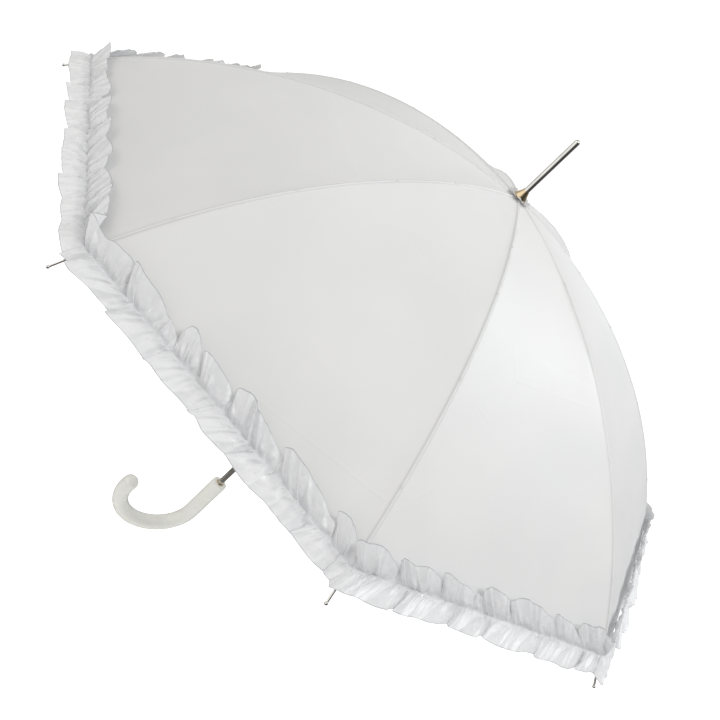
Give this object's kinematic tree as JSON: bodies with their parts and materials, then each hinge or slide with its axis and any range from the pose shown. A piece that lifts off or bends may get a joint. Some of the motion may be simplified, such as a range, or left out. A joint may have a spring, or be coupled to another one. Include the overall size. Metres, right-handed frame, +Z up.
{
  "type": "frilled stick umbrella",
  "caption": "Open white stick umbrella with a cloth dome, gathered satin frill round the hem, chrome ferrule and crook handle; folds on jointed ribs.",
  "frame": {"origin": "on the shaft axis at the middle of the grip, the straight part of the handle", "axes": "+Z up the shaft from the grip to the ferrule, +X the way the crook turns, +Y across the crook"},
  "size_m": [0.9504, 0.9504, 0.8505],
  "materials": {
    "canopy_cloth": "plain woven pongee, matt",
    "satin_ribbon": "satin, soft shine",
    "rosette_cloth": "pinked cloth, matt",
    "tip_metal": "nickel plated",
    "rib_steel": "zinc plated spring steel",
    "polished_chrome": "polished chrome",
    "brass": "lacquered brass",
    "white_plastic": "glossy moulded plastic",
    "notch_plastic": "moulded nylon",
    "spring_steel": "drawn wire"
  },
  "bodies": {
    "root": {"shaft": "polished_chrome", "ferrule": "polished_chrome", "ferrule_cup": "brass", "top_rosette": "rosette_cloth", "crown": "notch_plastic", "crown_wire": "spring_steel", "handle": "white_plastic", "handle_collar": "brass"},
    "inner_rib_1": {"rib_inner_1": "rib_steel", "canopy_panel_1": "canopy_cloth"},
    "outer_rib_1": {"rib_outer_1": "rib_steel", "rib_tip_1": "tip_metal", "frill_1": "satin_ribbon"},
    "stretcher_1": {"stretcher_1": "rib_steel"},
    "inner_rib_2": {"rib_inner_2": "rib_steel", "canopy_panel_2": "canopy_cloth"},
    "outer_rib_2": {"rib_outer_2": "rib_steel", "rib_tip_2": "tip_metal", "frill_2": "satin_ribbon"},
    "stretcher_2": {"stretcher_2": "rib_steel"},
    "inner_rib_3": {"rib_inner_3": "rib_steel", "canopy_panel_3": "canopy_cloth"},
    "outer_rib_3": {"rib_outer_3": "rib_steel", "rib_tip_3": "tip_metal", "frill_3": "satin_ribbon"},
    "stretcher_3": {"stretcher_3": "rib_steel"},
    "inner_rib_4": {"rib_inner_4": "rib_steel", "canopy_panel_4": "canopy_cloth"},
    "outer_rib_4": {"rib_outer_4": "rib_steel", "rib_tip_4": "tip_metal", "frill_4": "satin_ribbon"},
    "stretcher_4": {"stretcher_4": "rib_steel"},
    "inner_rib_5": {"rib_inner_5": "rib_steel", "canopy_panel_5": "canopy_cloth"},
    "outer_rib_5": {"rib_outer_5": "rib_steel", "rib_tip_5": "tip_metal", "frill_5": "satin_ribbon"},
    "stretcher_5": {"stretcher_5": "rib_steel"},
    "inner_rib_6": {"rib_inner_6": "rib_steel", "canopy_panel_6": "canopy_cloth"},
    "outer_rib_6": {"rib_outer_6": "rib_steel", "rib_tip_6": "tip_metal", "frill_6": "satin_ribbon"},
    "stretcher_6": {"stretcher_6": "rib_steel"},
    "inner_rib_7": {"rib_inner_7": "rib_steel", "canopy_panel_7": "canopy_cloth"},
    "outer_rib_7": {"rib_outer_7": "rib_steel", "rib_tip_7": "tip_metal", "frill_7": "satin_ribbon"},
    "stretcher_7": {"stretcher_7": "rib_steel"},
    "inner_rib_8": {"rib_inner_8": "rib_steel", "canopy_panel_8": "canopy_cloth"},
    "outer_rib_8": {"rib_outer_8": "rib_steel", "rib_tip_8": "tip_metal", "frill_8": "satin_ribbon"},
    "stretcher_8": {"stretcher_8": "rib_steel"},
    "runner": {"runner": "notch_plastic", "runner_wire": "spring_steel"},
    "top_catch": {"top_catch": "spring_steel"},
    "bottom_catch": {"bottom_catch": "spring_steel"}
  },
  "joints": [
    {"name": "rib_1_fold", "type": "hinge", "parent": "root", "child": "inner_rib_1", "pos_m": [0.00914, 0.00407, 0.6435], "axis": [-0.4067, 0.9135, 0], "range_deg": [0, 70], "deforming": ["canopy_panel_1", "canopy_panel_2", "canopy_panel_3", "canopy_panel_4", "canopy_panel_5", "canopy_panel_6", "canopy_panel_7", "canopy_panel_8", "frill_1", "frill_2", "frill_3", "frill_4", "frill_5", "frill_6", "frill_7", "frill_8", "top_catch", "bottom_catch"]},
    {"name": "rib_1_flex", "type": "hinge", "parent": "inner_rib_1", "child": "outer_rib_1", "pos_m": [0.2262, 0.10071, 0.59014], "axis": [-0.4067, 0.9135, 0], "range_deg": [-24, 0]},
    {"name": "stretcher_1_fold", "type": "hinge", "parent": "inner_rib_1", "child": "stretcher_1", "pos_m": [0.21741, 0.0968, 0.5878], "axis": [-0.4067, 0.9135, 0], "range_deg": [-140.5, 0]},
    {"name": "rib_2_fold", "type": "hinge", "parent": "root", "child": "inner_rib_2", "pos_m": [0.00358, 0.00934, 0.6435], "axis": [-0.9336, 0.3584, 0], "range_deg": [0, 70]},
    {"name": "rib_2_flex", "type": "hinge", "parent": "inner_rib_2", "child": "outer_rib_2", "pos_m": [0.08873, 0.23115, 0.59014], "axis": [-0.9336, 0.3584, 0], "range_deg": [-24, 0]},
    {"name": "stretcher_2_fold", "type": "hinge", "parent": "inner_rib_2", "child": "stretcher_2", "pos_m": [0.08529, 0.22218, 0.5878], "axis": [-0.9336, 0.3584, 0], "range_deg": [-140.5, 0]},
    {"name": "rib_3_fold", "type": "hinge", "parent": "root", "child": "inner_rib_3", "pos_m": [-0.00407, 0.00914, 0.6435], "axis": [-0.9135, -0.4067, 0], "range_deg": [0, 70]},
    {"name": "rib_3_flex", "type": "hinge", "parent": "inner_rib_3", "child": "outer_rib_3", "pos_m": [-0.10071, 0.2262, 0.59014], "axis": [-0.9135, -0.4067, 0], "range_deg": [-24, 0]},
    {"name": "stretcher_3_fold", "type": "hinge", "parent": "inner_rib_3", "child": "stretcher_3", "pos_m": [-0.0968, 0.21741, 0.5878], "axis": [-0.9135, -0.4067, 0], "range_deg": [-140.5, 0]},
    {"name": "rib_4_fold", "type": "hinge", "parent": "root", "child": "inner_rib_4", "pos_m": [-0.00934, 0.00358, 0.6435], "axis": [-0.3584, -0.9336, 0], "range_deg": [0, 70]},
    {"name": "rib_4_flex", "type": "hinge", "parent": "inner_rib_4", "child": "outer_rib_4", "pos_m": [-0.23115, 0.08873, 0.59014], "axis": [-0.3584, -0.9336, 0], "range_deg": [-24, 0]},
    {"name": "stretcher_4_fold", "type": "hinge", "parent": "inner_rib_4", "child": "stretcher_4", "pos_m": [-0.22218, 0.08529, 0.5878], "axis": [-0.3584, -0.9336, 0], "range_deg": [-140.5, 0]},
    {"name": "rib_5_fold", "type": "hinge", "parent": "root", "child": "inner_rib_5", "pos_m": [-0.00914, -0.00407, 0.6435], "axis": [0.4067, -0.9135, 0], "range_deg": [0, 70]},
    {"name": "rib_5_flex", "type": "hinge", "parent": "inner_rib_5", "child": "outer_rib_5", "pos_m": [-0.2262, -0.10071, 0.59014], "axis": [0.4067, -0.9135, 0], "range_deg": [-24, 0]},
    {"name": "stretcher_5_fold", "type": "hinge", "parent": "inner_rib_5", "child": "stretcher_5", "pos_m": [-0.21741, -0.0968, 0.5878], "axis": [0.4067, -0.9135, 0], "range_deg": [-140.5, 0]},
    {"name": "rib_6_fold", "type": "hinge", "parent": "root", "child": "inner_rib_6", "pos_m": [-0.00358, -0.00934, 0.6435], "axis": [0.9336, -0.3584, 0], "range_deg": [0, 70]},
    {"name": "rib_6_flex", "type": "hinge", "parent": "inner_rib_6", "child": "outer_rib_6", "pos_m": [-0.08873, -0.23115, 0.59014], "axis": [0.9336, -0.3584, 0], "range_deg": [-24, 0]},
    {"name": "stretcher_6_fold", "type": "hinge", "parent": "inner_rib_6", "child": "stretcher_6", "pos_m": [-0.08529, -0.22218, 0.5878], "axis": [0.9336, -0.3584, 0], "range_deg": [-140.5, 0]},
    {"name": "rib_7_fold", "type": "hinge", "parent": "root", "child": "inner_rib_7", "pos_m": [0.00407, -0.00914, 0.6435], "axis": [0.9135, 0.4067, 0], "range_deg": [0, 70]},
    {"name": "rib_7_flex", "type": "hinge", "parent": "inner_rib_7", "child": "outer_rib_7", "pos_m": [0.10071, -0.2262, 0.59014], "axis": [0.9135, 0.4067, 0], "range_deg": [-24, 0]},
    {"name": "stretcher_7_fold", "type": "hinge", "parent": "inner_rib_7", "child": "stretcher_7", "pos_m": [0.0968, -0.21741, 0.5878], "axis": [0.9135, 0.4067, 0], "range_deg": [-140.5, 0]},
    {"name": "rib_8_fold", "type": "hinge", "parent": "root", "child": "inner_rib_8", "pos_m": [0.00934, -0.00358, 0.6435], "axis": [0.3584, 0.9336, 0], "range_deg": [0, 70]},
    {"name": "rib_8_flex", "type": "hinge", "parent": "inner_rib_8", "child": "outer_rib_8", "pos_m": [0.23115, -0.08873, 0.59014], "axis": [0.3584, 0.9336, 0], "range_deg": [-24, 0]},
    {"name": "stretcher_8_fold", "type": "hinge", "parent": "inner_rib_8", "child": "stretcher_8", "pos_m": [0.22218, -0.08529, 0.5878], "axis": [0.3584, 0.9336, 0], "range_deg": [-140.5, 0]},
    {"name": "runner_travel", "type": "hinge", "parent": "stretcher_1", "child": "runner", "pos_m": [0.00914, 0.00407, 0.5321], "axis": [-0.4067, 0.9135, 0], "range_deg": [0, 70.5]},
    {"name": "top_catch_press", "type": "hinge", "parent": "root", "child": "top_catch", "pos_m": [0.0018, 0, 0.4526], "axis": [0, -1, 0], "range_deg": [0, 4], "stiffness_Nm_per_rad": 0.6, "springref_deg": -1.15},
    {"name": "bottom_catch_press", "type": "hinge", "parent": "root", "child": "bottom_catch", "pos_m": [0.0018, 0, 0.11993], "axis": [0, -1, 0], "range_deg": [0, 4], "stiffness_Nm_per_rad": 0.6, "springref_deg": -1.15}
  ],
  "couplings": [
    {"joint": "rib_1_flex", "follows": "rib_1_fold", "ratio": -0.33},
    {"joint": "stretcher_1_fold", "follows": "rib_1_fold", "ratio": -2},
    {"joint": "rib_2_fold", "follows": "rib_1_fold", "ratio": 1},
    {"joint": "rib_2_flex", "follows": "rib_1_fold", "ratio": -0.33},
    {"joint": "stretcher_2_fold", "follows": "rib_1_fold", "ratio": -2},
    {"joint": "rib_3_fold", "follows": "rib_1_fold", "ratio": 1},
    {"joint": "rib_3_flex", "follows": "rib_1_fold", "ratio": -0.33},
    {"joint": "stretcher_3_fold", "follows": "rib_1_fold", "ratio": -2},
    {"joint": "rib_4_fold", "follows": "rib_1_fold", "ratio": 1},
    {"joint": "rib_4_flex", "follows": "rib_1_fold", "ratio": -0.33},
    {"joint": "stretcher_4_fold", "follows": "rib_1_fold", "ratio": -2},
    {"joint": "rib_5_fold", "follows": "rib_1_fold", "ratio": 1},
    {"joint": "rib_5_flex", "follows": "rib_1_fold", "ratio": -0.33},
    {"joint": "stretcher_5_fold", "follows": "rib_1_fold", "ratio": -2},
    {"joint": "rib_6_fold", "follows": "rib_1_fold", "ratio": 1},
    {"joint": "rib_6_flex", "follows": "rib_1_fold", "ratio": -0.33},
    {"joint": "stretcher_6_fold", "follows": "rib_1_fold", "ratio": -2},
    {"joint": "rib_7_fold", "follows": "rib_1_fold", "ratio": 1},
    {"joint": "rib_7_flex", "follows": "rib_1_fold", "ratio": -0.33},
    {"joint": "stretcher_7_fold", "follows": "rib_1_fold", "ratio": -2},
    {"joint": "rib_8_fold", "follows": "rib_1_fold", "ratio": 1},
    {"joint": "rib_8_flex", "follows": "rib_1_fold", "ratio": -0.33},
    {"joint": "stretcher_8_fold", "follows": "rib_1_fold", "ratio": -2},
    {"joint": "runner_travel", "follows": "rib_1_fold", "ratio": 1}
  ]
}
